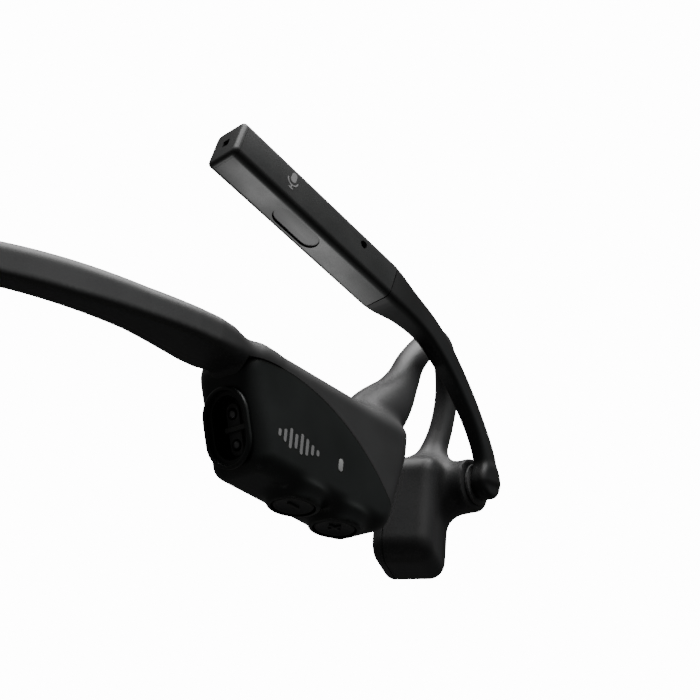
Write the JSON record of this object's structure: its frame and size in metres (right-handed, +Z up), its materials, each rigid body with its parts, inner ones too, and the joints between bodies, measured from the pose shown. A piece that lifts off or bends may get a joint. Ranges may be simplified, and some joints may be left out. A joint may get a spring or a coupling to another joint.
{
  "type": "bone conduction headset with microphone boom",
  "caption": "Open-ear bone conduction headset with a neckband behind the head, ear hooks, cheekbone transducers and a swivelling microphone boom.",
  "frame": {"origin": "on the surface the pods stand on, under the middle of the whole headset's bounding box", "axes": "+Z up with the pods' undersides level, the wearer faces -Y, the wearer's right is -X"},
  "size_m": [0.1416, 0.1332, 0.0592],
  "materials": {
    "silicone": "fine matte soft-touch silicone",
    "hard_black": "fine satin moulded plastic",
    "button_black": "matte moulded plastic",
    "mute_grey": "matte dark grey plastic",
    "light_window": "translucent light grey",
    "spring_steel": "drawn and brushed metal",
    "magnet": "nickel plated",
    "copper": "enamelled copper wire",
    "contact": "dark plated contact",
    "board_green": "solder mask",
    "module_metal": "pressed shield can",
    "battery_wrap": "foil pouch",
    "cable_jacket": "matte jacket",
    "mesh_black": "woven acoustic mesh"
  },
  "bodies": {
    "headset": {"band_core_wire": "spring_steel", "band_signal_cable": "cable_jacket", "band_sleeve": "silicone", "battery": "battery_wrap", "battery_protection_board": "board_green", "bluetooth_module": "module_metal", "boom_friction_washer": "cable_jacket", "boom_pivot_boss": "silicone", "boom_pivot_pin": "spring_steel", "button_board": "board_green", "charge_contact_lower": "contact", "charge_contact_upper": "contact", "charge_magnet": "magnet", "charge_port_bezel": "hard_black", "charge_port_block": "hard_black", "controller_board": "board_green", "left_cheek_pad": "silicone", "left_hook_sleeve": "silicone", "left_hook_wire": "spring_steel", "left_magnet": "magnet", "left_pod_frame": "hard_black", "left_pod_lid": "hard_black", "left_pod_shell": "hard_black", "left_pod_skin": "silicone", "left_spring_plate": "spring_steel", "left_transducer_housing": "silicone", "left_voice_coil": "copper", "left_yoke": "spring_steel", "multifunction_switch": "module_metal", "right_cheek_pad": "silicone", "right_hook_sleeve": "silicone", "right_hook_wire": "spring_steel", "right_magnet": "magnet", "right_pod_frame": "hard_black", "right_pod_lid": "hard_black", "right_pod_shell": "hard_black", "right_pod_skin": "silicone", "right_spring_plate": "spring_steel", "right_transducer_housing": "silicone", "right_voice_coil": "copper", "right_yoke": "spring_steel", "status_led": "light_window", "status_light_window": "light_window", "volume_down_switch": "module_metal", "volume_up_switch": "module_metal"},
    "boom": {"boom_arm": "silicone", "boom_signal_cable": "cable_jacket", "first_microphone": "module_metal", "microphone_board": "board_green", "microphone_mesh": "mesh_black", "mute_switch": "module_metal", "second_microphone": "module_metal", "wand_end_cap": "hard_black", "wand_shell": "hard_black"},
    "mute_button": {"mute_button": "mute_grey"},
    "volume_down_button": {"volume_down_button": "button_black"},
    "volume_up_button": {"volume_up_button": "button_black"},
    "multifunction_button": {"multifunction_button": "button_black"}
  },
  "joints": [
    {"name": "boom_pivot", "type": "hinge", "parent": "headset", "child": "boom", "pos_m": [-0.0679, -0.0624, 0.0232], "axis": [1, 0, 0], "range_deg": [0, 190]},
    {"name": "mute_button_press", "type": "slide", "parent": "boom", "child": "mute_button", "axis": [0.0162, -0.2863, 0.958], "range_m": [0, 0.0005], "stiffness_N_per_m": 900, "springref_m": -0.0003},
    {"name": "volume_down_press", "type": "slide", "parent": "headset", "child": "volume_down_button", "axis": [0, 0, 1], "range_m": [0, 0.0004], "stiffness_N_per_m": 900, "springref_m": -0.0003},
    {"name": "volume_up_press", "type": "slide", "parent": "headset", "child": "volume_up_button", "axis": [0, 0, 1], "range_m": [0, 0.0004], "stiffness_N_per_m": 900, "springref_m": -0.0003},
    {"name": "multifunction_press", "type": "slide", "parent": "headset", "child": "multifunction_button", "axis": [-0.9397, 0.342, 0], "range_m": [0, 0.0004], "stiffness_N_per_m": 900, "springref_m": -0.0003}
  ]
}
